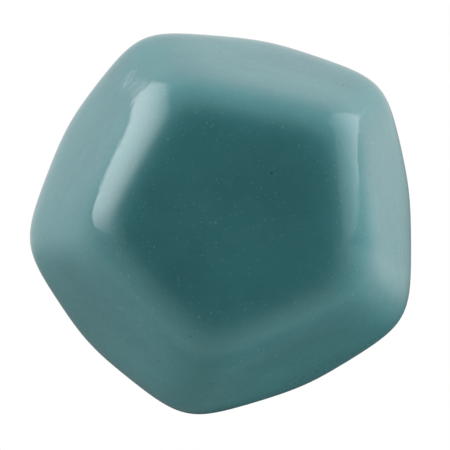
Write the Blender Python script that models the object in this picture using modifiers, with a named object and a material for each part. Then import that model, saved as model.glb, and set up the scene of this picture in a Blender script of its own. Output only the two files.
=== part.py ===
"""Faceted glazed ceramic cabinet knob, with the stud and fasteners that hold it to a drawer front.

The head is a twelve-sided form with softly melted edges: one pentagonal table in front, five crown
facets around it, five pavilion facets that taper to the back, and a ground flat foot. A stud is
cemented into the foot with a square anchor nut. It passes through a rubber cushion, a turned metal
ferrule and the drawer front, and a nut with two washers clamps it from inside.

Frame, in metres: the origin is on the stud's axis, in the plane of the drawer front's outer face.
-Y is the way the knob faces, +Y runs into the drawer, and +Z is up, through one corner of the head.
Every piece is modelled along its own +Z, which the knob_axis empty turns to +Y. Below, depth is the
distance along that axis behind the drawer front's outer face, so the head has negative depths.
"""

import math

import bmesh
import bpy
from mathutils import Matrix, Vector

MM = 0.001

# ---- Driving dimensions ----

HEAD_WIDTH = 40.0 * MM  # across the widest level, from a side to the opposite corner
PANEL_THICKNESS = 18.0 * MM  # the drawer front that the nut is set for at rest
SEAT_GAP = 0.3 * MM  # kept between faces that would rest on each other
SIDES = 5

# Head: how far each kind of facet lies from the head's centre, and how its normal leans from the front.
TABLE_REACH = 0.548 * HEAD_WIDTH
CROWN_REACH = 0.448 * HEAD_WIDTH
PAVILION_REACH = 0.446 * HEAD_WIDTH
BACK_REACH = 0.400 * HEAD_WIDTH
CROWN_LEAN = math.radians(72.0)
PAVILION_LEAN = math.radians(129.0)
EDGE_POWER = 10.4  # how crisp the melted edges are: a higher power is crisper
# The head is pressed and trimmed by hand, so each facet sits a little further in or out than the rest.
CROWN_TRIM = [v * MM for v in (-0.85, -0.15, 0.65, 0.40, -0.10)]
PAVILION_TRIM = [v * MM for v in (-0.10, -0.30, -0.20, 0.10, 0.50)]
FOOT_REACH = 15.0 * MM  # the ground foot, behind the head's centre
HEAD_RINGS, HEAD_SPOKES = 34, 60

# Cemented joint in the foot
SOCKET_MOUTH_RADIUS = 5.7 * MM
SOCKET_FLOOR_RADIUS = 5.3 * MM
SOCKET_DEPTH = 16.0 * MM
SOCKET_KEY_DEPTH = 0.45 * MM  # grooves in the wall that the cement keys into
SOCKET_KEY_HEIGHT = 1.3 * MM
SOCKET_KEYS = 3
ANCHOR_WIDTH = 7.0 * MM
ANCHOR_THICKNESS = 3.2 * MM

# Stack between the head and the drawer front
CUSHION_THICKNESS = 1.0 * MM
CUSHION_RADIUS = 8.0 * MM
FERRULE_HEIGHT = 6.0 * MM
FERRULE_RADIUS = 10.0 * MM
FERRULE_BORE = 2.3 * MM
FERRULE_RIM = 1.3 * MM  # thickness of the rim against the drawer front
FERRULE_BEAD = 0.9 * MM  # radius of the bead under the cushion
FERRULE_NECK = 7.3 * MM  # radius at the cove's waist

# Stud: metric coarse thread, 4 mm
THREAD_RADIUS = 2.0 * MM
THREAD_PITCH = 0.7 * MM
THREAD_DEPTH = 0.6134 * THREAD_PITCH
THREAD_CLEARANCE = 0.12 * MM  # radial, between stud and nut
THREAD_SEGMENTS = 13
# Turns the thread's corners away from those of the round pieces that cut it, so no edges coincide.
THREAD_PHASE = 2.0 * math.pi / THREAD_SEGMENTS / 3.0
SHANK_RADIUS = THREAD_RADIUS - THREAD_DEPTH / 2  # a rolled stud's shank has the pitch diameter
STUD_EMBEDDED = 14.5 * MM
STUD_REACH = 38.0 * MM  # how far the stud stands out of the ferrule
OUTER_THREAD_START = 8.0 * MM
ANCHOR_THREAD_LENGTH = 5.6 * MM
STUD_PAST_ANCHOR = 1.2 * MM
STUD_CHAMFER = 0.6 * MM

# Clamping set
WASHER_RADIUS = 6.0 * MM
WASHER_BORE = 2.15 * MM
WASHER_THICKNESS = 1.0 * MM
SPRING_WASHER_RADIUS = 3.8 * MM
SPRING_WASHER_THICKNESS = 0.9 * MM
SPRING_WASHER_RISE = 0.6 * MM
SPRING_WASHER_SPAN = math.radians(344.0)
SPRING_WASHER_STEPS = 28
NUT_ACROSS_FLATS = 7.0 * MM
NUT_THICKNESS = 3.2 * MM
NUT_CHAMFER = 0.35 * MM
NUT_FACE_RADIUS = NUT_ACROSS_FLATS / 2.0 - 0.05 * MM

ROUND_STEPS = 40
SHANK_STEPS = 27
MERGE = 0.00001
PAST = 1.0 * MM  # how far a cutter runs past what it cuts

# ---- Depths along the axis, worked out from the sizes above ----

FERRULE_TOP = -FERRULE_HEIGHT
CUSHION_BACK = FERRULE_TOP - SEAT_GAP
CUSHION_FRONT = CUSHION_BACK - CUSHION_THICKNESS
FOOT = CUSHION_FRONT - SEAT_GAP
HEAD_CENTRE = FOOT - FOOT_REACH
STUD_FRONT = FOOT - STUD_EMBEDDED
ANCHOR_FRONT = STUD_FRONT + STUD_PAST_ANCHOR
ANCHOR_BACK = ANCHOR_FRONT + ANCHOR_THICKNESS
ANCHOR_THREAD_END = STUD_FRONT + ANCHOR_THREAD_LENGTH
FLAT_WASHER_FRONT = PANEL_THICKNESS
SPRING_WASHER_FRONT = FLAT_WASHER_FRONT + WASHER_THICKNESS + SEAT_GAP
NUT_FRONT = SPRING_WASHER_FRONT + SPRING_WASHER_THICKNESS + SPRING_WASHER_RISE + SEAT_GAP
NUT_BACK = NUT_FRONT + NUT_THICKNESS

# ---- Scene helpers ----


def clear_scene():
    for obj in list(bpy.data.objects):
        bpy.data.objects.remove(obj)


def new_collection(name):
    collection = bpy.data.collections.new(name)
    bpy.context.scene.collection.children.link(collection)
    return collection


def material(name, colour, roughness, metallic=0.0):
    made = bpy.data.materials.new(name)
    made.use_nodes = True
    shader = made.node_tree.nodes["Principled BSDF"]
    shader.inputs["Base Color"].default_value = (*colour, 1.0)
    shader.inputs["Roughness"].default_value = roughness
    shader.inputs["Metallic"].default_value = metallic
    made.diffuse_color = (*colour, 1.0)
    return made


def on_axis(name, mesh, depth, collection):
    """An object on the knob's axis, at a depth behind the drawer front's outer face."""
    obj = bpy.data.objects.new(name, mesh)
    obj.parent = knob_axis
    obj.location = (0.0, 0.0, depth)
    collection.objects.link(obj)
    return obj


def place(name, mesh, look, depth=0.0):
    """A piece of the knob."""
    mesh.materials.append(look)
    return on_axis(name, mesh, depth, parts)


def place_cutter(name, mesh, depth=0.0):
    """A shape that only cuts or joins a piece."""
    obj = on_axis(name, mesh, depth, cutters)
    obj.hide_render = True
    obj.display_type = "WIRE"
    return obj


def mesh_from(bm, name, smooth_angle=math.radians(35.0)):
    mesh = bpy.data.meshes.new(name)
    bm.to_mesh(mesh)
    bm.free()
    mesh.shade_smooth()
    mesh.set_sharp_from_angle(angle=smooth_angle)
    return mesh


def face_outward(bm):
    bmesh.ops.recalc_face_normals(bm, faces=bm.faces)
    if bm.calc_volume(signed=True) < 0.0:
        bmesh.ops.reverse_faces(bm, faces=bm.faces)


def boolean(obj, operation, other):
    modifier = obj.modifiers.new(f"{operation.lower()} {other.name}", "BOOLEAN")
    modifier.operation = operation
    modifier.solver = "EXACT"
    modifier.object = other


def soften(obj, width, segments=2, angle=math.radians(40.0)):
    """Rounds the sharp edges of a piece."""
    bevel = obj.modifiers.new("softened edges", "BEVEL")
    bevel.width = width
    bevel.segments = segments
    bevel.limit_method = "ANGLE"
    bevel.angle_limit = angle
    bevel.use_clamp_overlap = True


# ---- Shapes ----


def profile_mesh(name, points, closed):
    """A profile of (radius, height) points, which a Screw modifier turns about Z."""
    mesh = bpy.data.meshes.new(name)
    edges = [(i, i + 1) for i in range(len(points) - 1)]
    if closed:
        edges.append((len(points) - 1, 0))
    mesh.from_pydata([(radius, 0.0, height) for radius, height in points], edges, [])
    return mesh


def turn(obj, steps=ROUND_STEPS):
    screw = obj.modifiers.new("turned", "SCREW")
    screw.angle = 2.0 * math.pi
    screw.steps = screw.render_steps = steps
    screw.use_merge_vertices = True
    screw.merge_threshold = MERGE
    screw.use_smooth_shade = True


def turned(name, points, look, depth=0.0, closed=True):
    obj = place(name, profile_mesh(name, points, closed), look, depth)
    turn(obj)
    return obj


def turned_cutter(name, points, depth=0.0):
    obj = place_cutter(name, profile_mesh(name, points, closed=False), depth)
    turn(obj)
    return obj


def ring_profile(inner, outer, thickness):
    """A flat ring's section, down its outer side first."""
    return [(inner, thickness), (outer, thickness), (outer, 0.0), (inner, 0.0)]


def arc(centre, radius, start, end, steps):
    """Points of an arc in the (radius, height) plane, with angles in degrees from the radius axis."""
    angles = [math.radians(start + (end - start) * i / steps) for i in range(steps + 1)]
    return [(centre[0] + radius * math.cos(a), centre[1] + radius * math.sin(a)) for a in angles]


def facet_planes():
    """Each facet of the head as (outward normal, distance from the centre). Its face is at -Z."""
    planes = [(Vector((0.0, 0.0, -1.0)), TABLE_REACH), (Vector((0.0, 0.0, 1.0)), BACK_REACH)]
    rows = (
        (CROWN_LEAN, CROWN_REACH, CROWN_TRIM, 0.5),
        (PAVILION_LEAN, PAVILION_REACH, PAVILION_TRIM, 1.0),
    )
    for lean, reach, trims, offset in rows:
        for i, trim in enumerate(trims):
            # World +Z is this local -Y, and the first pavilion facet points up.
            around = 2.0 * math.pi * (i + offset - 1.0) / SIDES + math.pi / 2.0
            across = Vector((math.cos(around), -math.sin(around), 0.0))
            normal = across * math.sin(lean) + Vector((0.0, 0.0, -math.cos(lean)))
            planes.append((normal, reach + trim))
    return planes


def melted_reach(direction, planes):
    """How far the head's surface is from its centre: the facets, blended where they meet."""
    shares = [max(normal.dot(direction), 0.0) / reach for normal, reach in planes]
    return sum(share**EDGE_POWER for share in shares) ** (-1.0 / EDGE_POWER)


def head_mesh():
    planes = facet_planes()
    bm = bmesh.new()
    bmesh.ops.create_uvsphere(bm, u_segments=HEAD_SPOKES, v_segments=HEAD_RINGS, radius=1.0)
    for vertex in bm.verts:
        direction = vertex.co.normalized()
        vertex.co = direction * melted_reach(direction, planes)
    return mesh_from(bm, "ceramic_head", math.radians(80.0))


def cylinder_mesh(name, radius, start, end, segments=ROUND_STEPS):
    bm = bmesh.new()
    bmesh.ops.create_cone(
        bm,
        cap_ends=True,
        segments=segments,
        radius1=radius,
        radius2=radius,
        depth=end - start,
        matrix=Matrix.Translation((0.0, 0.0, (start + end) / 2.0)),
    )
    return mesh_from(bm, name)


def box_mesh(name, width, start, end):
    """A square box on the axis."""
    size = Matrix.Diagonal((width, width, end - start, 1.0))
    bm = bmesh.new()
    bmesh.ops.create_cube(bm, size=1.0, matrix=Matrix.Translation((0.0, 0.0, (start + end) / 2.0)) @ size)
    return mesh_from(bm, name)


def thread_mesh(name, start, end, swell=0.0):
    """A right-hand helical thread that covers start to end with a turn to spare at each end.

    Its phase depends only on depth, so a nut cut with the same call meshes with the stud.
    """
    pitch = THREAD_PITCH
    root, crest = THREAD_RADIUS - THREAD_DEPTH + swell, THREAD_RADIUS + swell
    first = math.floor(start / pitch) - 1
    turns = math.ceil(end / pitch) + 1 - first
    section = [(root, 0.0), (root, 1 / 4), (crest, 9 / 16), (crest, 11 / 16), (root, 1.0)]
    bm = bmesh.new()
    line = [bm.verts.new((radius, 0.0, (first + share) * pitch)) for radius, share in section]
    edges = [bm.edges.new(pair) for pair in zip(line, line[1:])]
    bmesh.ops.spin(
        bm,
        geom=line + edges,
        cent=(0.0, 0.0, 0.0),
        axis=(0.0, 0.0, 1.0),
        dvec=(0.0, 0.0, pitch / THREAD_SEGMENTS),
        angle=2.0 * math.pi * turns,
        steps=THREAD_SEGMENTS * turns,
    )
    bmesh.ops.remove_doubles(bm, verts=bm.verts, dist=MERGE)
    # Each open end is drawn together into a point on the axis, one turn past it.
    middle = (first + (turns + 1) / 2.0) * pitch
    for side in (-1.0, 1.0):
        rim = [e for e in bm.edges if e.is_boundary and (e.verts[0].co.z - middle) * side > 0.0]
        drawn = bmesh.ops.extrude_edge_only(bm, edges=rim)["geom"]
        tip = middle + side * (turns + 5) / 2.0 * pitch
        points = [g for g in drawn if isinstance(g, bmesh.types.BMVert)]
        bmesh.ops.pointmerge(bm, verts=points, merge_co=(0.0, 0.0, tip))
    bmesh.ops.rotate(bm, verts=bm.verts, matrix=Matrix.Rotation(THREAD_PHASE, 3, "Z"))
    face_outward(bm)
    return mesh_from(bm, name)


# ---- Pieces of the knob ----


def ceramic_head():
    head = place("ceramic_head", head_mesh(), glaze, HEAD_CENTRE)
    grinder = box_mesh("foot_grinder", 2.0 * HEAD_WIDTH, 0.0, HEAD_WIDTH)
    boolean(head, "DIFFERENCE", place_cutter("foot_grinder", grinder, FOOT))
    boolean(head, "DIFFERENCE", turned_cutter("socket_cutter", socket_profile(0.0, PAST), FOOT))


def socket_profile(gap, past):
    """The blind socket's outline from its mouth (height 0) to its floor, shrunk by gap on all sides."""
    def wall(depth):
        share = depth / SOCKET_DEPTH
        return SOCKET_MOUTH_RADIUS + (SOCKET_FLOOR_RADIUS - SOCKET_MOUTH_RADIUS) * share - gap

    points = [(0.0, past), (wall(0.0), past), (wall(0.0), 0.0)]
    spacing = SOCKET_DEPTH / (SOCKET_KEYS + 1)
    for key in range(1, SOCKET_KEYS + 1):
        middle = key * spacing
        start, end = middle - SOCKET_KEY_HEIGHT, middle + SOCKET_KEY_HEIGHT
        half_floor = SOCKET_KEY_HEIGHT / 2.0 - gap / 2.0
        points.append((wall(start), -start))
        points.append((wall(middle) + SOCKET_KEY_DEPTH, -(middle - half_floor)))
        points.append((wall(middle) + SOCKET_KEY_DEPTH, -(middle + half_floor)))
        points.append((wall(end), -end))
    points.append((wall(SOCKET_DEPTH), -(SOCKET_DEPTH - gap)))
    points.append((0.0, -(SOCKET_DEPTH - gap)))
    return points


def cement_plug():
    """The cement in the socket, around the anchor nut and the stud."""
    plug = turned("cement_plug", socket_profile(SEAT_GAP, -SEAT_GAP), cement, FOOT, closed=False)
    bore = cylinder_mesh("stud_hole", THREAD_RADIUS + SEAT_GAP, STUD_FRONT - SEAT_GAP, FOOT + PAST)
    boolean(plug, "DIFFERENCE", place_cutter("stud_hole", bore))
    seat_width = ANCHOR_WIDTH + 2.0 * SEAT_GAP
    seat = box_mesh("anchor_seat", seat_width, ANCHOR_FRONT - SEAT_GAP, ANCHOR_BACK + SEAT_GAP)
    boolean(plug, "DIFFERENCE", place_cutter("anchor_seat", seat))


def tap(name, start, end):
    """The cutter that threads a nut from start to end."""
    return place_cutter(name, thread_mesh(name, start, end, swell=THREAD_CLEARANCE))


def anchor_nut():
    nut = place("anchor_nut", box_mesh("anchor_nut", ANCHOR_WIDTH, ANCHOR_FRONT, ANCHOR_BACK), steel)
    boolean(nut, "DIFFERENCE", tap("anchor_tap", ANCHOR_FRONT, ANCHOR_BACK))


def chamfer_ends(rod, start, end):
    """Cuts a threaded length off between two depths, with a chamfer at each end."""
    full, tip = THREAD_RADIUS + SEAT_GAP, THREAD_RADIUS - STUD_CHAMFER
    outline = [
        (0.0, end),
        (tip, end),
        (full, end - STUD_CHAMFER - SEAT_GAP),
        (full, start + STUD_CHAMFER + SEAT_GAP),
        (tip, start),
        (0.0, start),
    ]
    boolean(rod, "INTERSECT", turned_cutter(f"{rod.name}_blank", outline))


def mounting_stud():
    """A double-ended stud: the long thread takes the nut, the short one holds the anchor nut."""
    outer_thread = thread_mesh("mounting_stud", OUTER_THREAD_START, STUD_REACH)
    stud = place("mounting_stud", outer_thread, steel)
    chamfer_ends(stud, OUTER_THREAD_START, STUD_REACH)
    anchor_thread = place_cutter("anchor_thread", thread_mesh("anchor_thread", STUD_FRONT, ANCHOR_THREAD_END))
    chamfer_ends(anchor_thread, STUD_FRONT, ANCHOR_THREAD_END)
    shank_start, shank_end = ANCHOR_THREAD_END - PAST, OUTER_THREAD_START + PAST
    shank = cylinder_mesh("shank", SHANK_RADIUS, shank_start, shank_end, SHANK_STEPS)
    boolean(stud, "UNION", place_cutter("shank", shank))
    boolean(stud, "UNION", anchor_thread)


def cushion_washer():
    outline = ring_profile(FERRULE_BORE, CUSHION_RADIUS, CUSHION_THICKNESS)
    cushion = turned("cushion_washer", outline, rubber, CUSHION_FRONT)
    soften(cushion, 0.3 * CUSHION_THICKNESS)


def base_ferrule():
    """A turned collar: a rim against the drawer front, a cove, and a bead under the cushion."""
    cove_radius = (FERRULE_HEIGHT - FERRULE_RIM - 2.0 * FERRULE_BEAD) / 2.0
    cove_centre = (FERRULE_NECK + cove_radius, -FERRULE_RIM - cove_radius)
    rim_round = FERRULE_RIM / 2.0
    outline = (
        [(FERRULE_BORE, 0.0), (FERRULE_RADIUS, 0.0)]
        + arc((FERRULE_RADIUS - rim_round, -rim_round), rim_round, 0.0, -90.0, 3)
        + arc(cove_centre, cove_radius, 90.0, 270.0, 8)
        + arc((cove_centre[0], FERRULE_BEAD - FERRULE_HEIGHT), FERRULE_BEAD, 90.0, -90.0, 6)
        + [(FERRULE_BORE, -FERRULE_HEIGHT)]
    )
    turned("base_ferrule", outline, nickel)


def flat_washer():
    outline = ring_profile(WASHER_BORE, WASHER_RADIUS, WASHER_THICKNESS)
    washer = turned("flat_washer", outline, steel, FLAT_WASHER_FRONT)
    soften(washer, 0.12 * WASHER_THICKNESS, segments=1)


def spring_washer():
    """A split ring of square section that climbs a little from one end to the other."""
    bm = bmesh.new()
    outline = ring_profile(WASHER_BORE, SPRING_WASHER_RADIUS, SPRING_WASHER_THICKNESS)
    loop = [bm.verts.new((radius, 0.0, height)) for radius, height in outline]
    edges = [bm.edges.new(pair) for pair in zip(loop, loop[1:] + loop[:1])]
    bmesh.ops.spin(
        bm,
        geom=loop + edges,
        cent=(0.0, 0.0, 0.0),
        axis=(0.0, 0.0, 1.0),
        dvec=(0.0, 0.0, SPRING_WASHER_RISE / SPRING_WASHER_STEPS),
        angle=SPRING_WASHER_SPAN,
        steps=SPRING_WASHER_STEPS,
    )
    bmesh.ops.holes_fill(bm, edges=[e for e in bm.edges if e.is_boundary], sides=4)
    face_outward(bm)
    place("spring_washer", mesh_from(bm, "spring_washer"), steel, SPRING_WASHER_FRONT)


def hex_nut():
    """A nut whose corners are chamfered on both faces by cones that leave a round face inside the flats."""
    corner = NUT_ACROSS_FLATS / math.sqrt(3.0)
    nut = place("hex_nut", cylinder_mesh("hex_nut", corner, NUT_FRONT, NUT_BACK, 6), steel)
    slope = NUT_CHAMFER / (corner - NUT_FACE_RADIUS)
    outside = corner + PAST
    drop = slope * (outside - NUT_FACE_RADIUS)
    inside = NUT_FACE_RADIUS - PAST / slope
    outline = [
        (0.0, NUT_BACK + PAST),
        (inside, NUT_BACK + PAST),
        (outside, NUT_BACK - drop),
        (outside, NUT_FRONT + drop),
        (inside, NUT_FRONT - PAST),
        (0.0, NUT_FRONT - PAST),
    ]
    boolean(nut, "INTERSECT", turned_cutter("nut_chamfers", outline))
    boolean(nut, "DIFFERENCE", tap("nut_tap", NUT_FRONT, NUT_BACK))


clear_scene()
parts = new_collection("cabinet_knob")
cutters = new_collection("cutters")
knob_axis = bpy.data.objects.new("knob_axis", None)
knob_axis.rotation_euler = (-math.pi / 2.0, 0.0, 0.0)  # local +Z becomes +Y
parts.objects.link(knob_axis)

glaze = material("teal_glaze", (0.07, 0.24, 0.26), 0.06)
cement = material("setting_cement", (0.62, 0.60, 0.55), 0.9)
rubber = material("black_rubber", (0.025, 0.025, 0.027), 0.7)
nickel = material("nickel_plate", (0.72, 0.71, 0.68), 0.18, metallic=1.0)
steel = material("zinc_plated_steel", (0.62, 0.63, 0.65), 0.32, metallic=1.0)

ceramic_head()
cement_plug()
anchor_nut()
mounting_stud()
cushion_washer()
base_ferrule()
flat_washer()
spring_washer()
hex_nut()
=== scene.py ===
"""Looks for the faceted glazed ceramic cabinet knob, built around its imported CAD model.

All lengths are metres, in the model's frame: the drawer front's outer face is the plane y = 0, the
stud runs along +Y into the drawer, the knob faces -Y, and +Z is up, through one corner of the head.
"""

import math

import bmesh
import bpy
import numpy as np
from mathutils import Matrix, Vector, noise


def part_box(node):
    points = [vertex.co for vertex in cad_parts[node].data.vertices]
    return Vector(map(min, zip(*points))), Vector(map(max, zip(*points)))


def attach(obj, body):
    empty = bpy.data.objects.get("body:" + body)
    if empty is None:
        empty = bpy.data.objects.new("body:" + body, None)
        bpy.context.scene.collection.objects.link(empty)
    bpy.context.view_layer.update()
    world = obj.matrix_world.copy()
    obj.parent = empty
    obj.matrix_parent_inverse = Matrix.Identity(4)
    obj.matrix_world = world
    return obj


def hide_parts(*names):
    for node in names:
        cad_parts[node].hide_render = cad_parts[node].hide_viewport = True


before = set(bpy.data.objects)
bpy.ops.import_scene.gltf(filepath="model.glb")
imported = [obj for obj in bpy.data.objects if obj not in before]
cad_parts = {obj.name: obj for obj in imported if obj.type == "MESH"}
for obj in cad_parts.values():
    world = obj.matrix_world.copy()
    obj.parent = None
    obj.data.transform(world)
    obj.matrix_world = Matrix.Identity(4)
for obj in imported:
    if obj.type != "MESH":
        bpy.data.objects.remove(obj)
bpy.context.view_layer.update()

MM = 0.001
TURN = 2.0 * math.pi

# ---- Places and sizes read from the CAD model ----

HEAD_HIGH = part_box("ceramic_head")[1]
PLUG_LOW, PLUG_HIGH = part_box("cement_plug")
CUSHION_LOW, CUSHION_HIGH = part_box("cushion_washer")
FERRULE_LOW, FERRULE_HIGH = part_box("base_ferrule")
STUD_LOW, STUD_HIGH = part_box("mounting_stud")
WASHER_LOW, WASHER_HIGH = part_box("flat_washer")
SPRING_LOW, SPRING_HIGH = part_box("spring_washer")
NUT_LOW, NUT_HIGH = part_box("hex_nut")

# ---- The head's design, as in the CAD source ----

HEAD_WIDTH = 40.0 * MM
SIDES = 5
TABLE_REACH = 0.548 * HEAD_WIDTH
CROWN_REACH = 0.448 * HEAD_WIDTH
PAVILION_REACH = 0.446 * HEAD_WIDTH
BACK_REACH = 0.400 * HEAD_WIDTH
CROWN_LEAN = math.radians(72.0)
PAVILION_LEAN = math.radians(129.0)
EDGE_POWER = 10.4
CROWN_TRIM = [v * MM for v in (-0.85, -0.15, 0.65, 0.40, -0.10)]
PAVILION_TRIM = [v * MM for v in (-0.10, -0.30, -0.20, 0.10, 0.50)]
FOOT_REACH = 15.0 * MM
HEAD_CENTRE = Vector((0.0, HEAD_HIGH.y - FOOT_REACH, 0.0))

# ---- Fine detail that only the visual model has ----

HEAD_SPOKES, HEAD_ROWS = 320, 190
WAVE_HEIGHT = 0.035 * MM  # how far the hand-trimmed facets wander from flat
WAVE_LENGTH = 14.0 * MM
FOOT_ROUND = 0.8 * MM
BARE_BAND = 1.1 * MM  # the glaze stops this far above the foot
GLAZE_STEP = 0.14 * MM
THREAD_PITCH = 0.7 * MM
THREAD_RADIUS = 2.0 * MM
THREAD_DEPTH = 0.6134 * THREAD_PITCH
THREAD_CLEARANCE = 0.10 * MM
THREAD_SPOKES = 48
OUTER_THREAD_START = 8.0 * MM
ANCHOR_THREAD_LENGTH = 5.6 * MM
ROUND_SPOKES = 144
CUSHION_SOFTENING = 0.12 * MM  # how far the rim's corners are pulled in along the faces

# ---- Colours ----

WHITE = (1.0, 1.0, 1.0)
GLAZE_DEEP = (0.039, 0.184, 0.203)
GLAZE_THIN = (0.047, 0.216, 0.232)
GLAZE_EDGE = (0.072, 0.250, 0.264)
PINHOLE = (0.26, 0.50, 0.50)
SPECK = (0.020, 0.060, 0.065)
CLAY_DARK = (0.52, 0.43, 0.33)
CLAY_PALE = (0.66, 0.57, 0.46)
ZINC_BLUE, ZINC_YELLOW = (0.60, 0.62, 0.67), (0.63, 0.61, 0.54)
ZINC_SCRATCH = (0.36, 0.36, 0.37)

# ---- Camera and light, in the frame of the view from the front ----

CAMERA_DISTANCE = 263.3 * MM
CAMERA_YAW = math.radians(2.6)
CAMERA_PITCH = math.radians(-0.85)
CAMERA_ROLL = math.radians(24.4)
CAMERA_LENS = 201.1  # mm, on a 36 mm sensor
CAMERA_SHIFT = (-0.009, -0.024)
FILL_SIZE = math.radians(50.0)
# Name, azimuth and elevation in degrees, strength and colour.
FILL_LIGHTS = (
    ("fill_right", 95.0, 5.0, 1.7, WHITE),
    ("fill_top", 150.0, 75.0, 1.3, WHITE),
    ("fill_below", 50.0, -75.0, 0.50, (1.0, 0.97, 0.80)),
)
FLOOR_RADIUS = 1500.0 * MM
FLOOR_HEIGHT = -75.0 * MM
FLOOR_GREY = 0.62


# ---- Mesh helpers ----


def at(radius, angle, depth):
    """A point at a radius and angle about the stud's axis; angles turn right-handed about +Y."""
    return np.stack(
        np.broadcast_arrays(radius * np.cos(angle), depth, -radius * np.sin(angle)), axis=-1
    )


def skin(name, rings, loop=False, caps=True, smooth=35.0):
    """A mesh over rings of points, each ring closed, with each ring joined to the next.

    With loop the last ring joins the first, and otherwise caps closes the two end rings.
    """
    rings = np.asarray(rings, float)
    count, points = rings.shape[:2]
    near = np.arange(points)
    after = (near + 1) % points
    faces = []
    for ring in range(count if loop else count - 1):
        here, there = ring * points, (ring + 1) % count * points
        quads = np.stack([here + near, here + after, there + after, there + near], axis=1)
        faces.extend(quads.tolist())
    if caps and not loop:
        faces.append(near[::-1].tolist())
        faces.append(((count - 1) * points + near).tolist())
    mesh = bpy.data.meshes.new(name)
    mesh.from_pydata(rings.reshape(-1, 3).tolist(), [], faces)
    return finished(name, mesh, smooth)


def finished(name, mesh, smooth=35.0):
    """Welds a mesh, faces it outwards, shades it smooth up to an angle, and makes its object."""
    bm = bmesh.new()
    bm.from_mesh(mesh)
    bmesh.ops.remove_doubles(bm, verts=bm.verts, dist=0.0005 * MM)
    bmesh.ops.recalc_face_normals(bm, faces=bm.faces)
    if bm.calc_volume(signed=True) < 0.0:
        bmesh.ops.reverse_faces(bm, faces=bm.faces)
    bm.to_mesh(mesh)
    bm.free()
    mesh.shade_smooth()
    mesh.set_sharp_from_angle(angle=math.radians(smooth))
    obj = bpy.data.objects.new(name, mesh)
    bpy.context.scene.collection.objects.link(obj)
    return obj


def filleted(points, radius, steps=5):
    """A closed (radius, depth) outline, its corners rounded by one radius or a list of them."""
    count = len(points)
    radii = radius if isinstance(radius, (list, tuple)) else [radius] * count
    outline = []
    for i, (corner, size) in enumerate(zip(points, radii)):
        corner = np.array(corner)
        before = np.array(points[i - 1]) - corner
        after = np.array(points[(i + 1) % count]) - corner
        if size <= 0.0:
            outline.append(tuple(corner))
            continue
        before /= np.linalg.norm(before)
        after /= np.linalg.norm(after)
        half = math.acos(np.clip(before @ after, -1.0, 1.0)) / 2.0
        run = size / math.tan(half)
        centre = corner + (before + after) / np.linalg.norm(before + after) * size / math.sin(half)
        start, end = corner + before * run - centre, corner + after * run - centre
        first = math.atan2(start[1], start[0])
        sweep = (math.atan2(end[1], end[0]) - first + math.pi) % TURN - math.pi
        for step in range(steps + 1):
            angle = first + sweep * step / steps
            outline.append((centre[0] + size * math.cos(angle), centre[1] + size * math.sin(angle)))
    return outline


def arc(centre, radius, start, end, steps):
    """An arc in the (radius, depth) plane, with angles in degrees from the radius axis."""
    angles = [math.radians(start + (end - start) * i / steps) for i in range(steps + 1)]
    return [(centre[0] + radius * math.cos(a), centre[1] + radius * math.sin(a)) for a in angles]


def turned(name, outline, spokes=ROUND_SPOKES, smooth=35.0):
    """A closed (radius, depth) outline turned about the stud's axis."""
    angles = np.arange(spokes) * TURN / spokes
    rings = [at(radius, angles, depth) for radius, depth in outline]
    return skin(name, rings, loop=True, smooth=smooth)


def smoothstep(low, high, value):
    share = np.clip((value - low) / (high - low), 0.0, 1.0)
    return share * share * (3.0 - 2.0 * share)


def fit(piece, node, body, look):
    """Puts a piece in the place of a CAD node, on its body and its material."""
    piece.data.materials.clear()
    piece.data.materials.append(look)
    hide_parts(node)
    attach(piece, body)
    return piece


# ---- Material helpers ----


class Nodes:
    """A node tree under construction: short calls that add and link its nodes."""

    def __init__(self, tree):
        self.tree = tree
        self.place = tree.nodes.new("ShaderNodeTexCoord").outputs["Object"]

    def node(self, kind, inputs=None, **settings):
        made = self.tree.nodes.new("ShaderNode" + kind)
        for key, value in settings.items():
            setattr(made, key, value)
        for key, value in (inputs or {}).items():
            if isinstance(value, bpy.types.NodeSocket):
                self.tree.links.new(value, made.inputs[key])
            else:
                made.inputs[key].default_value = value
        return made

    def product(self, *factors):
        result = factors[0]
        for factor in factors[1:]:
            result = self.math("MULTIPLY", result, factor)
        return result

    def noise(self, size, detail=2.0, roughness=0.5, place=None, distortion=0.0):
        """Smooth noise whose features are about size across."""
        inputs = {
            "Vector": place or self.place,
            "Scale": 1.0 / size,
            "Detail": detail,
            "Roughness": roughness,
            "Distortion": distortion,
        }
        return self.node("TexNoise", inputs).outputs["Fac"]

    def cells(self, size, place=None):
        """Cells about size across, as (distance to the nearest centre in metres, its colour)."""
        inputs = {"Vector": place or self.place, "Scale": 1.0 / size}
        made = self.node("TexVoronoi", inputs)
        return self.math("MULTIPLY", made.outputs["Distance"], size), made.outputs["Color"]

    def math(self, operation, *values):
        return self.node("Math", dict(enumerate(values)), operation=operation).outputs[0]

    def length(self, a, b):
        """The length of the two sides' hypotenuse."""
        squares = self.math("ADD", self.math("POWER", a, 2.0), self.math("POWER", b, 2.0))
        return self.math("SQRT", squares)

    def ramp(self, value, low, high, out_low=0.0, out_high=1.0):
        """Maps low..high smoothly to out_low..out_high, and holds the ends."""
        inputs = {"Value": value, 1: low, 2: high, 3: out_low, 4: out_high}
        return self.node("MapRange", inputs, interpolation_type="SMOOTHSTEP").outputs[0]

    def mix(self, share, a, b, blend="MIX"):
        made = self.node("Mix", data_type="RGBA", blend_type=blend)
        colours = [s for s in made.inputs if s.type == "RGBA"]
        for socket, value in ((made.inputs[0], share), (colours[0], a), (colours[1], b)):
            if isinstance(value, bpy.types.NodeSocket):
                self.tree.links.new(value, socket)
            elif isinstance(value, tuple):
                socket.default_value = (*value, 1.0)
            else:
                socket.default_value = value
        return [s for s in made.outputs if s.type == "RGBA"][0]


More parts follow.
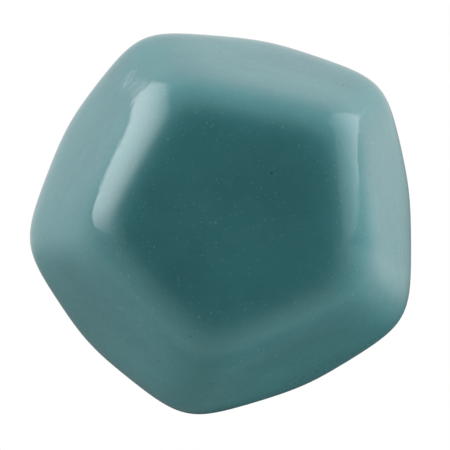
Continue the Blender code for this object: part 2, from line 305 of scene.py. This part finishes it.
class Look(Nodes):
    """A procedural material around one Principled shader."""

    def __init__(self, name, **values):
        self.material = bpy.data.materials.new(name)
        self.material.use_nodes = True
        super().__init__(self.material.node_tree)
        self.shader = self.tree.nodes["Principled BSDF"]
        for socket, value in values.items():
            self.shader.inputs[socket.replace("_", " ")].default_value = value

    def dots(self, spacing, share, smallest, largest):
        """A mask of round dots of varied radius, in that share of the cells spacing across."""
        distance, tint = self.cells(spacing)
        chance, scale, _ = self.node("SeparateXYZ", {0: tint}).outputs
        radius = self.ramp(scale, 0.1, 1.0, smallest, largest)
        inside = self.math("LESS_THAN", distance, radius)
        return self.product(inside, self.math("LESS_THAN", chance, share))

    def position(self):
        """The object coordinates, as x, y, z and the distance from the stud's axis."""
        split = self.node("SeparateXYZ", {0: self.place})
        x, y, z = split.outputs
        return x, y, z, self.length(x, z)

    def around(self):
        """Coordinates for marks that run around the axis."""
        _, y, _, radius = self.position()
        return self.node("CombineXYZ", {"X": radius, "Y": y}).outputs[0]

    def bump(self, height, depth, normal=None):
        """A bump of a height field from 0 to 1 that stands depth metres high."""
        inputs = {"Height": height, "Distance": depth, "Strength": 1.0}
        if normal is not None:
            inputs["Normal"] = normal
        return self.node("Bump", inputs).outputs[0]

    def wire(self, **sockets):
        for socket, value in sockets.items():
            self.tree.links.new(value, self.shader.inputs[socket.replace("_", " ")])
        return self.material


def glaze_look(foot):
    """Glossy teal glaze with pinholes and specks, over a bare clay band above the foot."""
    look = Look("teal_glaze", IOR=1.5, Specular_IOR_Level=0.5)
    # Colour: pooled and thin areas, a little paler where the glaze thins over an edge.
    cloud = look.noise(9.0 * MM, detail=3.0, roughness=0.55)
    colour = look.mix(look.ramp(cloud, 0.3, 0.7), GLAZE_DEEP, GLAZE_THIN)
    edge = look.node("Attribute", attribute_name="edge").outputs["Fac"]
    colour = look.mix(look.math("MULTIPLY", edge, 0.35), colour, GLAZE_EDGE)
    mottle = look.noise(1.1 * MM, detail=2.0, roughness=0.6)
    colour = look.mix(look.ramp(mottle, 0.35, 0.75, 0.0, 0.18), colour, GLAZE_EDGE)
    # Pinholes: many fine faint ones, a few larger pale ones, and rare dark iron specks.
    fine = look.dots(0.42 * MM, 0.75, 0.050 * MM, 0.105 * MM)
    colour = look.mix(look.math("MULTIPLY", fine, 0.15), colour, PINHOLE)
    cluster = look.math("GREATER_THAN", look.noise(7.0 * MM, detail=0.0), 0.72)
    pinhole = look.product(look.dots(0.55 * MM, 0.6, 0.07 * MM, 0.15 * MM), cluster)
    pinhole = look.math("MAXIMUM", pinhole, look.dots(1.15 * MM, 0.30, 0.07 * MM, 0.15 * MM))
    colour = look.mix(look.math("MULTIPLY", pinhole, 0.18), colour, PINHOLE)
    speck = look.dots(1.9 * MM, 0.28, 0.07 * MM, 0.16 * MM)
    colour = look.mix(look.math("MULTIPLY", speck, 0.75), colour, SPECK)
    # The bare band.
    _, y, _, _ = look.position()
    wander = look.math("MULTIPLY", look.noise(3.0 * MM, detail=1.0), 0.35 * MM)
    bare = look.math("GREATER_THAN", look.math("ADD", y, wander), foot - BARE_BAND + 0.2 * MM)
    clay = look.mix(look.ramp(look.noise(0.5 * MM, detail=3.0), 0.3, 0.7), CLAY_DARK, CLAY_PALE)
    colour = look.mix(bare, colour, clay)
    gloss = look.ramp(look.noise(5.0 * MM, detail=3.0), 0.3, 0.75, 0.008, 0.024)
    gloss = look.math("ADD", gloss, look.math("MULTIPLY", pinhole, 0.25))
    gloss = look.math("MAXIMUM", gloss, look.math("MULTIPLY", bare, 0.85))
    # Relief: a slow orange peel, the pits of the pinholes and the clay's grain.
    normal = look.bump(look.noise(3.6 * MM, detail=0.0), 0.018 * MM)
    normal = look.bump(look.noise(1.3 * MM, detail=1.0), 0.009 * MM, normal)
    normal = look.bump(look.noise(0.7 * MM, detail=0.0), 0.0025 * MM, normal)
    normal = look.bump(look.math("SUBTRACT", 1.0, pinhole), 0.012 * MM, normal)
    grain = look.math("MULTIPLY", look.noise(0.22 * MM, detail=2.0), bare)
    normal = look.bump(grain, 0.05 * MM, normal)
    return look.wire(Base_Color=colour, Roughness=gloss, Normal=normal)


def plated_look(name, colour, tarnish, ring_size, roughness):
    """Plated metal that was turned: fine rings round the axis, dirt in them, cloudy tarnish."""
    look = Look(name, Metallic=1.0)
    rings = look.noise(ring_size, detail=3.0, roughness=0.7, place=look.around())
    cloud = look.noise(4.0 * MM, detail=4.0, roughness=0.6)
    tint = look.mix(look.ramp(cloud, 0.45, 0.8, 0.0, 0.55), colour, tarnish)
    tint = look.mix(look.ramp(rings, 0.3, 0.7, 0.0, 0.12), tint, (0.25, 0.24, 0.23))
    smear = look.ramp(look.noise(2.5 * MM, detail=3.0), 0.35, 0.75, roughness, roughness + 0.14)
    rough = look.math("ADD", smear, look.ramp(rings, 0.3, 0.7, -0.03, 0.05))
    normal = look.bump(rings, 0.0035 * MM)
    dents = look.noise(0.9 * MM, detail=2.0)
    normal = look.bump(look.ramp(dents, 0.62, 0.74), 0.004 * MM, normal)
    return look.wire(Base_Color=tint, Roughness=rough, Normal=normal)


def thread_look():
    """Zinc-plated steel, darker and rougher in patches in the roots of the thread."""
    look = Look("zinc_thread", Metallic=1.0)
    _, _, _, radius = look.position()
    deepest, shallow = THREAD_RADIUS - THREAD_DEPTH, THREAD_RADIUS - 0.25 * THREAD_DEPTH
    root = look.ramp(radius, deepest, shallow, 1.0, 0.0)
    cloud = look.noise(3.0 * MM, detail=4.0, roughness=0.6)
    tint = look.mix(look.ramp(cloud, 0.4, 0.75), (0.60, 0.62, 0.66), (0.50, 0.50, 0.47))
    patches = look.ramp(look.noise(1.2 * MM, detail=3.0), 0.25, 0.7, 0.45, 0.95)
    # Darker and rougher in patches in the roots of the thread.
    dark_root_patches = look.math("MULTIPLY", root, patches)
    tint = look.mix(dark_root_patches, tint, (0.13, 0.12, 0.11))
    rough = look.ramp(look.noise(0.8 * MM, detail=3.0), 0.3, 0.7, 0.24, 0.40)
    rough = look.math("ADD", rough, look.math("MULTIPLY", dark_root_patches, 0.2))
    normal = look.bump(look.noise(0.12 * MM, detail=2.0), 0.006 * MM)
    return look.wire(Base_Color=tint, Roughness=rough, Normal=normal)


def zinc_look(name, tool_marks):
    """Zinc-plated steel: milky plating, faint yellow and blue tints, marks left by its tool."""
    look = Look(name, Metallic=1.0)
    cloud = look.noise(2.6 * MM, detail=3.0)
    tint = look.mix(look.ramp(cloud, 0.35, 0.7), ZINC_BLUE, ZINC_YELLOW)
    place = look.around() if tool_marks else None
    marks = look.noise(0.10 * MM, detail=3.0, roughness=0.7, place=place)
    tint = look.mix(look.ramp(marks, 0.35, 0.7, 0.0, 0.25), tint, ZINC_SCRATCH)
    rough = look.ramp(look.noise(0.9 * MM, detail=4.0), 0.3, 0.7, 0.24, 0.42)
    normal = look.bump(marks, 0.006 * MM)
    scuffs = look.ramp(look.noise(0.45 * MM, detail=2.0, distortion=1.5), 0.60, 0.68)
    normal = look.bump(scuffs, 0.006 * MM, normal)
    return look.wire(Base_Color=tint, Roughness=rough, Normal=normal)


def rubber_look():
    """Black moulded rubber with a fine grain and a grey bloom."""
    look = Look("black_rubber", Specular_IOR_Level=0.4)
    bloom = look.noise(2.2 * MM, detail=4.0, roughness=0.65)
    black, grey = (0.016, 0.016, 0.018), (0.060, 0.060, 0.058)
    colour = look.mix(look.ramp(bloom, 0.4, 0.8, 0.0, 0.6), black, grey)
    rough = look.ramp(bloom, 0.3, 0.8, 0.55, 0.80)
    normal = look.bump(look.noise(0.13 * MM, detail=2.0), 0.012 * MM)
    return look.wire(Base_Color=colour, Roughness=rough, Normal=normal)


def cement_look():
    """Rough grey-white setting cement with sand grains and small air holes."""
    look = Look("setting_cement")
    cloud = look.noise(2.5 * MM, detail=4.0, roughness=0.6)
    colour = look.mix(look.ramp(cloud, 0.3, 0.7), (0.46, 0.43, 0.37), (0.62, 0.60, 0.54))
    distance, tint = look.cells(0.5 * MM)
    grain = look.math("LESS_THAN", distance, 0.14 * MM)
    colour = look.mix(look.math("MULTIPLY", grain, 0.5), colour, tint)
    normal = look.bump(look.noise(0.3 * MM, detail=4.0), 0.08 * MM)
    normal = look.bump(grain, 0.03 * MM, normal)
    rough = look.ramp(cloud, 0.3, 0.7, 0.80, 0.95)
    return look.wire(Base_Color=colour, Roughness=rough, Normal=normal)


# ---- The head ----


def facet_planes():
    """The facets' outward unit normals and their distances from the head's centre."""
    normals, reaches = [(0.0, -1.0, 0.0), (0.0, 1.0, 0.0)], [TABLE_REACH, BACK_REACH]
    rows = (
        (CROWN_LEAN, CROWN_REACH, CROWN_TRIM, 0.5),
        (PAVILION_LEAN, PAVILION_REACH, PAVILION_TRIM, 1.0),
    )
    for lean, reach, trims, offset in rows:
        for i, trim in enumerate(trims):
            around = TURN * (i + offset - 1.0) / SIDES + math.pi / 2.0
            across = math.sin(lean)
            normals.append((math.cos(around) * across, -math.cos(lean), math.sin(around) * across))
            reaches.append(reach + trim)
    return np.array(normals), np.array(reaches)


def melted_reach(directions, planes):
    """How far the surface is from the head's centre, and how near it is to a facet's edge."""
    normals, reaches = planes
    shares = np.maximum(directions @ normals.T, 0.0) / reaches
    reach = (shares**EDGE_POWER).sum(axis=-1) ** (-1.0 / EDGE_POWER)
    ranked = np.sort(shares, axis=-1)
    edge = smoothstep(0.80, 1.0, ranked[..., -2] / ranked[..., -1])
    return reach, edge


def facet_waves(directions):
    """The slow unevenness of facets that were trimmed by hand, in metres."""
    flat = directions.reshape(-1, 3) * (HEAD_WIDTH / 2.0 / WAVE_LENGTH)
    waves = [noise.noise(Vector(p)) + 0.35 * noise.noise(Vector(p) * 2.7) for p in flat]
    return WAVE_HEIGHT * np.array(waves).reshape(directions.shape[:-1])


def head_directions(polar, angles):
    """Unit vectors at polar angles from the front, for each angle around the axis."""
    sine = np.sin(polar)
    shape = np.broadcast_arrays(sine * np.cos(angles), -np.cos(polar), sine * np.sin(angles))
    return np.stack(shape, axis=-1)


def glazed_head():
    """The head: a grid of spokes and rows from the table's middle to the foot, then the socket."""
    planes = facet_planes()
    angles = np.arange(HEAD_SPOKES) * TURN / HEAD_SPOKES
    # Where each spoke meets the plane that the foot's rounding starts from.
    wanted = FOOT_REACH - FOOT_ROUND
    low, high = np.full(HEAD_SPOKES, 0.5 * math.pi), np.full(HEAD_SPOKES, 0.95 * math.pi)
    for _ in range(40):
        middle = (low + high) / 2.0
        directions = head_directions(middle, angles)
        behind = melted_reach(directions, planes)[0] * directions[:, 1] > wanted
        high = np.where(behind, middle, high)
        low = np.where(behind, low, middle)
    rows = np.arange(1, HEAD_ROWS + 1)[:, None] / HEAD_ROWS
    directions = head_directions(rows * low[None, :], angles[None, :])
    reach, edge = melted_reach(directions, planes)
    reach = reach + facet_waves(directions) * smoothstep(1.0, 0.85, rows)
    depth = reach * directions[..., 1]
    bare = smoothstep(FOOT_REACH - BARE_BAND - 0.25 * MM, FOOT_REACH - BARE_BAND + 0.05 * MM, depth)
    reach = reach - GLAZE_STEP * bare
    surface = directions * reach[..., None]
    # The rounding from the last row to the foot, and the foot's flat ring to the socket's mouth.
    last = surface[-1]
    spread = np.linalg.norm(last[:, [0, 2]], axis=1)
    outward = last[:, [0, 2]] / spread[:, None]
    rise = FOOT_REACH - last[:, 1]
    mouth = PLUG_HIGH.x + 0.3 * MM
    tail = []
    for step in range(1, 9):
        angle = 0.5 * math.pi * step / 8
        radius = spread - FOOT_ROUND * (1.0 - math.cos(angle))
        tail.append((radius, last[:, 1] + rise * math.sin(angle)))
    foot_edge = spread - FOOT_ROUND
    for share in (0.25, 0.5, 0.75, 1.0):
        tail.append((foot_edge + (mouth + 0.3 * MM - foot_edge) * share, FOOT_REACH))
    floor = PLUG_LOW.y - 0.3 * MM - HEAD_CENTRE.y
    socket = (
        (mouth, FOOT_REACH - 0.3 * MM),
        (mouth, floor + 0.6 * MM),
        (mouth - 0.6 * MM, floor),
    )
    for radius, place in socket:
        tail.append((np.full(HEAD_SPOKES, radius), place))
    rings = list(surface)
    for radius, place in tail:
        ring = np.zeros((HEAD_SPOKES, 3))
        ring[:, [0, 2]] = outward * np.asarray(radius)[:, None]
        ring[:, 1] = place
        rings.append(ring)
    head = skin("glazed_head", np.array(rings) + np.array(HEAD_CENTRE), smooth=50.0)
    mark_edges(head, planes)
    return head


def mark_edges(head, planes):
    """Stores how near each point is to an edge between facets, where the glaze runs thin."""
    points = np.array([v.co for v in head.data.vertices]) - np.array(HEAD_CENTRE)
    edge = melted_reach(points / np.linalg.norm(points, axis=1, keepdims=True), planes)[1]
    stored = head.data.attributes.new("edge", "FLOAT", "POINT")
    stored.data.foreach_set("value", edge.astype(np.float32))


# ---- Threads ----


def thread_outline():
    """One pitch of a metric thread, as (share of the pitch, share of the depth)."""
    return [
        (0.02, 0.0),
        (0.23, 0.0),
        (0.27, 0.064),
        (0.5425, 0.936),
        (0.5825, 1.0),
        (0.6675, 1.0),
        (0.7075, 0.936),
        (0.98, 0.064),
    ]


def threaded_rod(name, start, end, radius_at):
    """A helical skin from start to end, cut off flat; radius_at(depth, share) gives its radius.

    The strip's columns are the points of one pitch, and each turn's last column meets the next
    turn's first.
    """
    first = math.floor(start / THREAD_PITCH) - 2
    turns = math.ceil(end / THREAD_PITCH) + 2 - first
    outline = thread_outline()
    rows = THREAD_SPOKES * turns
    step = np.arange(rows + 1)
    angle = TURN * step / THREAD_SPOKES
    columns = []
    for share, height in outline:
        depth = (first + step / THREAD_SPOKES + share) * THREAD_PITCH
        columns.append(at(radius_at(depth, height), angle, depth))
    points = np.stack(columns, axis=1)
    width = len(outline)
    index = np.arange((rows + 1) * width).reshape(rows + 1, width)
    across = np.concatenate(
        [index[: rows + 1 - THREAD_SPOKES], index[THREAD_SPOKES:, :1]], axis=1
    )
    quads = np.stack([across[:-1, :-1], across[1:, :-1], across[1:, 1:], across[:-1, 1:]], axis=-1)
    mesh = bpy.data.meshes.new(name)
    mesh.from_pydata(points.reshape(-1, 3).tolist(), [], quads.reshape(-1, 4).tolist())
    bm = bmesh.new()
    bm.from_mesh(mesh)
    for depth, way in ((start, -1.0), (end, 1.0)):
        cut = bmesh.ops.bisect_plane(
            bm,
            geom=bm.verts[:] + bm.edges[:] + bm.faces[:],
            plane_co=(0.0, depth, 0.0),
            plane_no=(0.0, way, 0.0),
            clear_outer=True,
        )
        rim = [g for g in cut["geom_cut"] if isinstance(g, bmesh.types.BMEdge)]
        bmesh.ops.contextual_create(bm, geom=rim)
    loose = [v for v in bm.verts if not v.link_faces]
    bmesh.ops.delete(bm, geom=loose, context="VERTS")
    bm.to_mesh(mesh)
    bm.free()
    return finished(name, mesh, smooth=40.0)


def threaded_stud():
    """The stud: rolled threads at both ends, a plain shank between, and chamfered tips."""
    start, end = STUD_LOW.y, STUD_HIGH.y
    shank = THREAD_RADIUS - THREAD_DEPTH / 2.0
    anchor_end = start + ANCHOR_THREAD_LENGTH
    runout = 1.2 * MM
    chamfer = 0.6 * MM

    def radius_at(depth, height):
        thread = THREAD_RADIUS - THREAD_DEPTH * (1.0 - height)
        outer = smoothstep(OUTER_THREAD_START, OUTER_THREAD_START + runout, depth)
        anchor = smoothstep(anchor_end, anchor_end - runout, depth)
        radius = shank + (thread - shank) * np.maximum(outer, anchor)
        inset = np.minimum(depth - start, end - depth)
        return np.minimum(radius, THREAD_RADIUS - chamfer + np.maximum(inset, 0.0))

    return threaded_rod("threaded_stud", start, end, radius_at)


def thread_cutter(start, end):
    """What the stud's thread sweeps, with clearance and a countersink at each end."""
    def radius_at(depth, height):
        radius = THREAD_RADIUS + THREAD_CLEARANCE - THREAD_DEPTH * (1.0 - height)
        inset = np.minimum(depth - start, end - depth)
        return np.maximum(radius, THREAD_RADIUS + 0.22 * MM - inset)

    return threaded_rod("thread_cutter", start - 0.5 * MM, end + 0.5 * MM, radius_at)


# ---- Hardware ----


def turned_ferrule():
    """The collar: a rim against the drawer front, a cove, and a bead under the cushion."""
    back, front = FERRULE_HIGH.y, FERRULE_LOW.y
    rim_radius = FERRULE_HIGH.x
    bore = 2.3 * MM
    rim, bead, neck = 1.3 * MM, 0.9 * MM, 7.3 * MM
    quirk = 0.22 * MM
    cove = (back - front - rim - 2.0 * bead) / 2.0
    cove_centre = (neck + cove, back - rim - cove)
    bead_centre = (neck + cove, front + bead)
    step = neck + cove + quirk
    bead_top = front + 2.0 * bead
    outline = (
        [(bore + 0.25 * MM, back), (rim_radius - 0.15 * MM, back)]
        + arc((rim_radius - 0.15 * MM, back - 0.15 * MM), 0.15 * MM, 90.0, 0.0, 4)[1:]
        + arc((rim_radius - rim / 2.0, back - rim / 2.0), rim / 2.0, 0.0, -90.0, 12)[1:]
        + [(step, back - rim), (step, back - rim - quirk)]
        + arc(cove_centre, cove - quirk / 2.0, 84.0, 276.0, 28)
        + [(step, bead_top + quirk), (step, bead_top)]
        + arc(bead_centre, bead, 90.0, -60.0, 18)
        + [(bead_centre[0] - 0.8 * MM, front), (bore + 0.25 * MM, front), (bore, front + 0.25 * MM)]
        + [(bore, back - 0.25 * MM)]
    )
    return turned("turned_ferrule", outline, spokes=192, smooth=28.0)


def rubber_cushion():
    """A moulded washer, squeezed so that its rim bulges a little."""
    low, high = CUSHION_LOW.y, CUSHION_HIGH.y
    thick = high - low
    rim = CUSHION_HIGH.x - 0.16 * MM
    bulge = arc((rim - 0.60 * thick, (low + high) / 2.0), 0.60 * thick + 0.15 * MM, -45.0, 45.0, 10)
    bore = 2.35 * MM
    outline = [(bore, low)] + [(r, min(max(y, low), high)) for r, y in bulge] + [(bore, high)]
    return turned("rubber_cushion", filleted_ends(outline, low, high), smooth=60.0)


def filleted_ends(outline, low, high):
    """Softens the two corners of a bulging rim by pulling them in along the faces."""
    softened = list(outline)
    first, last = softened[1], softened[-2]
    softened.insert(1, (first[0] - CUSHION_SOFTENING, low))
    softened.insert(-1, (last[0] - CUSHION_SOFTENING, high))
    return softened


def stamped_washer():
    """A punched washer: rounded on the side the punch entered, sharper on the other."""
    low, high = WASHER_LOW.y, WASHER_HIGH.y
    bore, rim = 2.15 * MM, WASHER_HIGH.x
    corners = [(bore, high), (rim, high), (rim, low), (bore, low)]
    outline = filleted(corners, [0.10 * MM, 0.24 * MM, 0.07 * MM, 0.20 * MM], steps=5)
    return turned("stamped_washer", outline, smooth=32.0)


def split_washer():
    """A spring washer coiled from trapezoid wire, its ends sheared at a slant and set apart."""
    low, high = SPRING_LOW.y, SPRING_HIGH.y
    bore, rim = 2.15 * MM, SPRING_HIGH.x
    rise = 0.6 * MM
    thick = high - low - rise
    section = filleted([(bore, thick), (rim, thick), (rim, 0.0), (bore, 0.0)], 0.09 * MM, steps=3)
    radii = np.array([radius for radius, _ in section])
    heights = np.array([height for _, height in section])
    span, steps = math.radians(346.0), 132
    slant = math.radians(9.0)
    rings = []
    for step in range(steps + 1):
        share = step / steps
        lean = slant * (heights / thick - 0.5)
        angle = span * share + lean
        rings.append(at(radii, angle, low + rise * share + heights))
    return skin("split_washer", rings, smooth=35.0)


def chamfered_nut():
    """A hexagon nut: chamfered corners on both faces, a countersunk bore and a real thread."""
    low, high = NUT_LOW.y, NUT_HIGH.y
    flat = NUT_HIGH.x
    corner = flat / math.cos(math.pi / 6.0)
    spokes = 24 * 6
    angles = np.arange(spokes) * TURN / spokes
    # The hexagon's radius at each angle, its vertical edges slightly rounded.
    lean = (angles + math.pi / 6.0) % (math.pi / 3.0) - math.pi / 6.0
    hexagon = np.minimum(flat / np.cos(lean), corner - 0.04 * MM)
    face, slope = flat - 0.05 * MM, math.tan(math.radians(28.0))
    inset = np.maximum(hexagon - face, 0.0) * slope
    bore = THREAD_RADIUS - THREAD_DEPTH
    rings = [at(bore, angles, low), at(face - 0.1 * MM, angles, low)]
    for share in (0.0, 0.25, 0.5, 0.75, 1.0):
        radius = np.minimum(face + (corner - face) * share, hexagon)
        rings.append(at(radius, angles, low + np.maximum(radius - face, 0.0) * slope))
    rings.append(at(hexagon, angles, low + inset + 0.05 * MM))
    back = [(radius, low + high - depth) for radius, depth in rings_as_pairs(rings)]
    rings += [at(radius, angles, depth) for radius, depth in reversed(back)]
    nut = skin("chamfered_nut", rings, loop=True, smooth=25.0)
    cutter = thread_cutter(low, high)
    cut = nut.modifiers.new("thread", "BOOLEAN")
    cut.operation = "DIFFERENCE"
    cut.solver = "EXACT"
    cut.object = cutter
    bpy.context.view_layer.update()
    graph = bpy.context.evaluated_depsgraph_get()
    mesh = bpy.data.meshes.new_from_object(nut.evaluated_get(graph))
    bpy.data.objects.remove(cutter)
    bpy.data.objects.remove(nut)
    return finished("chamfered_nut", mesh, smooth=25.0)


def rings_as_pairs(rings):
    """Each ring of points as its radii and depths."""
    return [(np.hypot(ring[:, 0], ring[:, 2]), ring[:, 1]) for ring in rings]


# ---- Stage ----


def view_rotation():
    """The rotation from the front view's frame (right, up, towards the camera) to the model's."""
    tilt = (
        Matrix.Rotation(CAMERA_PITCH, 3, "X")
        @ Matrix.Rotation(CAMERA_YAW, 3, "Y")
        @ Matrix.Rotation(CAMERA_ROLL, 3, "Z")
    )
    return Matrix.Rotation(math.pi / 2.0, 3, "X") @ tilt.transposed()


def add_camera():
    data = bpy.data.cameras.new("camera")
    data.sensor_width = 36.0
    data.lens = CAMERA_LENS
    data.shift_x, data.shift_y = CAMERA_SHIFT
    data.clip_start = 0.01
    camera = bpy.data.objects.new("camera", data)
    turn = view_rotation()
    camera.matrix_world = (
        Matrix.Translation(HEAD_CENTRE + turn @ Vector((0.0, 0.0, CAMERA_DISTANCE))) @ turn.to_4x4()
    )
    bpy.context.scene.collection.objects.link(camera)
    bpy.context.scene.camera = camera


def towards(azimuth, elevation):
    """A direction from the head. Azimuth 0 is the camera's side and 90 the picture's right."""
    az, el = math.radians(azimuth), math.radians(elevation)
    direction = (math.sin(az) * math.cos(el), math.sin(el), math.cos(az) * math.cos(el))
    return view_rotation() @ Vector(direction)


def fill_light(name, azimuth, elevation, strength, colour):
    """A broad soft light without a reflection of its own."""
    data = bpy.data.lights.new(name, "SUN")
    data.energy = strength
    data.color = colour
    data.angle = FILL_SIZE
    light = bpy.data.objects.new(name, data)
    light.rotation_euler = towards(azimuth, elevation).to_track_quat("Z", "Y").to_euler()
    light.visible_glossy = False
    bpy.context.scene.collection.objects.link(light)


class Sky(Nodes):
    """The studio around the object, as the brightness of each direction."""

    def __init__(self, tree):
        super().__init__(tree)
        self.way = tree.nodes.new("ShaderNodeTexCoord").outputs["Generated"]

    def along(self, direction):
        dot = self.node("VectorMath", {0: self.way, 1: direction}, operation="DOT_PRODUCT")
        return dot.outputs["Value"]

    def near(self, azimuth, elevation, full, none):
        """1 within full degrees of a direction, falling to 0 at none degrees."""
        cosine = self.along(towards(azimuth, elevation))
        return self.ramp(cosine, math.cos(math.radians(none)), math.cos(math.radians(full)))

    def edge(self, first, second, inside, softness):
        """A mask with a great circle through two directions as its edge: 1 on inside's side."""
        normal = towards(*first).cross(towards(*second)).normalized()
        if normal.dot(towards(*inside)) < 0.0:
            normal = -normal
        soft = math.sin(math.radians(softness))
        return self.ramp(self.along(normal), -soft, soft)

    def panel(self, centre, level, spread, *edges):
        """A diffusion panel, brightest at its centre and cut off by its edges.

        spread is how far its glow reaches along and up, in degrees.
        """
        middle = towards(*centre)
        up = view_rotation() @ Vector((0.0, 1.0, 0.0))
        along = up.cross(middle).normalized()
        across = middle.cross(along)
        reach = []
        for way, size in zip((along, across), spread):
            share = self.math("DIVIDE", self.along(way), math.sin(math.radians(size)))
            reach.append(self.math("POWER", share, 2.0))
        glow = self.math("EXPONENT", self.math("MULTIPLY", self.math("ADD", *reach), -1.0))
        front = self.ramp(self.along(middle), 0.0, 0.2)
        cuts = [self.edge(first, second, centre, softness) for first, second, softness in edges]
        return self.product(glow, front, level, *cuts)


def add_world():
    """A white surround to look at. As light, it is a studio with a bright panel on each side, a
    pale table, a dim side towards the camera and the object's own shade behind and below it.
    """
    world = bpy.data.worlds.new("studio")
    world.use_nodes = True
    world.node_tree.nodes.clear()
    sky = Sky(world.node_tree)
    height = sky.along(towards(0.0, 90.0))
    level = sky.ramp(height, -0.30, 0.15, 0.60, 0.75)
    below = sky.ramp(height, -0.22, 0.0, 1.0, 0.0)
    dim_front = sky.product(sky.near(0.0, 6.0, 8.0, 75.0), -0.84)
    shade_below = sky.product(sky.near(177.0, -31.0, 8.0, 55.0), below, -0.76)
    contact = sky.product(sky.near(168.0, -13.0, 4.0, 24.0), -0.85)
    for darkening in (dim_front, shade_below, contact):
        level = sky.math("MULTIPLY_ADD", level, darkening, level)
    left = sky.panel(
        (-100.0, 26.0),
        3.4,
        (42.0, 24.0),
        ((-147.2, 20.5), (-148.7, 30.0), 1.2),
        ((-104.5, 1.4), (-85.0, -4.7), 2.0),
        ((-147.0, 45.0), (-75.0, 49.0), 5.0),
        ((-64.0, 0.0), (-64.0, 50.0), 17.0),
    )
    # The left panel's lower edge runs level at its back, then slants down.
    slant = sky.edge((-130.5, 19.5), (-104.5, 1.4), (-100.0, 26.0), 1.2)
    flat = sky.edge((-151.0, 20.3), (-128.0, 20.0), (-140.0, 30.0), 0.9)
    behind = sky.edge((-130.5, 10.0), (-130.5, 40.0), (-150.0, 25.0), 1.2)
    left = sky.product(left, sky.math("MAXIMUM", slant, sky.product(flat, behind)))
    right = sky.panel(
        (112.0, 14.0),
        1.06,
        (57.0, 38.0),
        ((84.0, 3.0), (126.0, 6.5), 1.3),
        ((126.0, 6.5), (150.5, 18.5), 1.2),
        ((150.0, 36.0), (150.0, 14.0), 1.2),
        ((149.0, 38.0), (126.0, 52.5), 2.5),
        ((126.0, 53.0), (90.0, 57.0), 4.0),
        ((57.0, 4.0), (84.0, 38.0), 3.0),
    )
    table = sky.panel(
        (90.0, -4.0),
        0.36,
        (60.0, 17.0),
        ((40.0, 0.5), (140.0, 0.5), 1.5),
        ((38.0, 2.0), (25.0, -28.0), 2.0),
    )
    wall = sky.panel((-75.0, -2.0), 0.40, (48.0, 18.0), ((-41.0, 12.0), (-33.0, -20.0), 3.5))
    for panel in (left, right, table, wall):
        level = sky.math("ADD", level, panel)
    lighting = sky.node("Background", {"Strength": level, "Color": (*WHITE, 1.0)})
    seen = sky.node("Background", {"Strength": 1.0, "Color": (*WHITE, 1.0)})
    path = sky.node("LightPath").outputs["Is Camera Ray"]
    choose = sky.node("MixShader", {0: path, 1: lighting.outputs[0], 2: seen.outputs[0]})
    output = sky.node("OutputWorld")
    sky.tree.links.new(choose.outputs[0], output.inputs["Surface"])
    bpy.context.scene.world = world


def add_lights():
    for settings in FILL_LIGHTS:
        fill_light(*settings)


def add_floor():
    """A round pale floor whose rim brightens into the white surround."""
    place = Matrix.Translation((0.0, 0.0, FLOOR_HEIGHT))
    bm = bmesh.new()
    bmesh.ops.create_circle(bm, cap_ends=True, segments=128, radius=FLOOR_RADIUS, matrix=place)
    mesh = bpy.data.meshes.new("floor")
    bm.to_mesh(mesh)
    bm.free()
    floor = bpy.data.objects.new("floor", mesh)
    bpy.context.scene.collection.objects.link(floor)
    look = Look("floor", Roughness=0.9)
    x, y, _ = look.node("SeparateXYZ", {0: look.place}).outputs
    glow = look.node("Emission", {"Color": (*WHITE, 1.0)}).outputs[0]
    look.shader.inputs["Base Color"].default_value = (FLOOR_GREY, FLOOR_GREY, FLOOR_GREY, 1.0)
    share = look.ramp(look.length(x, y), 150.0 * MM, 250.0 * MM)
    mixed = look.node("MixShader", {0: share, 1: look.shader.outputs[0], 2: glow})
    output = look.tree.nodes["Material Output"]
    look.tree.links.new(mixed.outputs[0], output.inputs["Surface"])
    mesh.materials.append(look.material)
    floor.visible_glossy = False
    floor.visible_diffuse = False
    floor.visible_shadow = False


# ---- Assembly ----

add_camera()
add_lights()
add_world()
add_floor()
bpy.context.scene.view_settings.view_transform = "Standard"

fit(glazed_head(), "ceramic_head", "root", glaze_look(HEAD_HIGH.y))
nickel = plated_look("nickel_plate", (0.70, 0.685, 0.655), (0.50, 0.46, 0.40), 0.06 * MM, 0.14)
fit(turned_ferrule(), "base_ferrule", "root", nickel)
fit(rubber_cushion(), "cushion_washer", "root", rubber_look())
fit(threaded_stud(), "mounting_stud", "root", thread_look())
washer_zinc, spring_zinc = zinc_look("zinc_washer", True), zinc_look("zinc_spring", True)
fit(stamped_washer(), "flat_washer", "clamp_washers", washer_zinc)
fit(split_washer(), "spring_washer", "clamp_washers", spring_zinc)
fit(chamfered_nut(), "hex_nut", "clamp_nut", zinc_look("zinc_nut", False))
for node, look in (("cement_plug", cement_look()), ("anchor_nut", zinc_look("zinc_anchor", False))):
    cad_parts[node].data.materials.clear()
    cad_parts[node].data.materials.append(look)
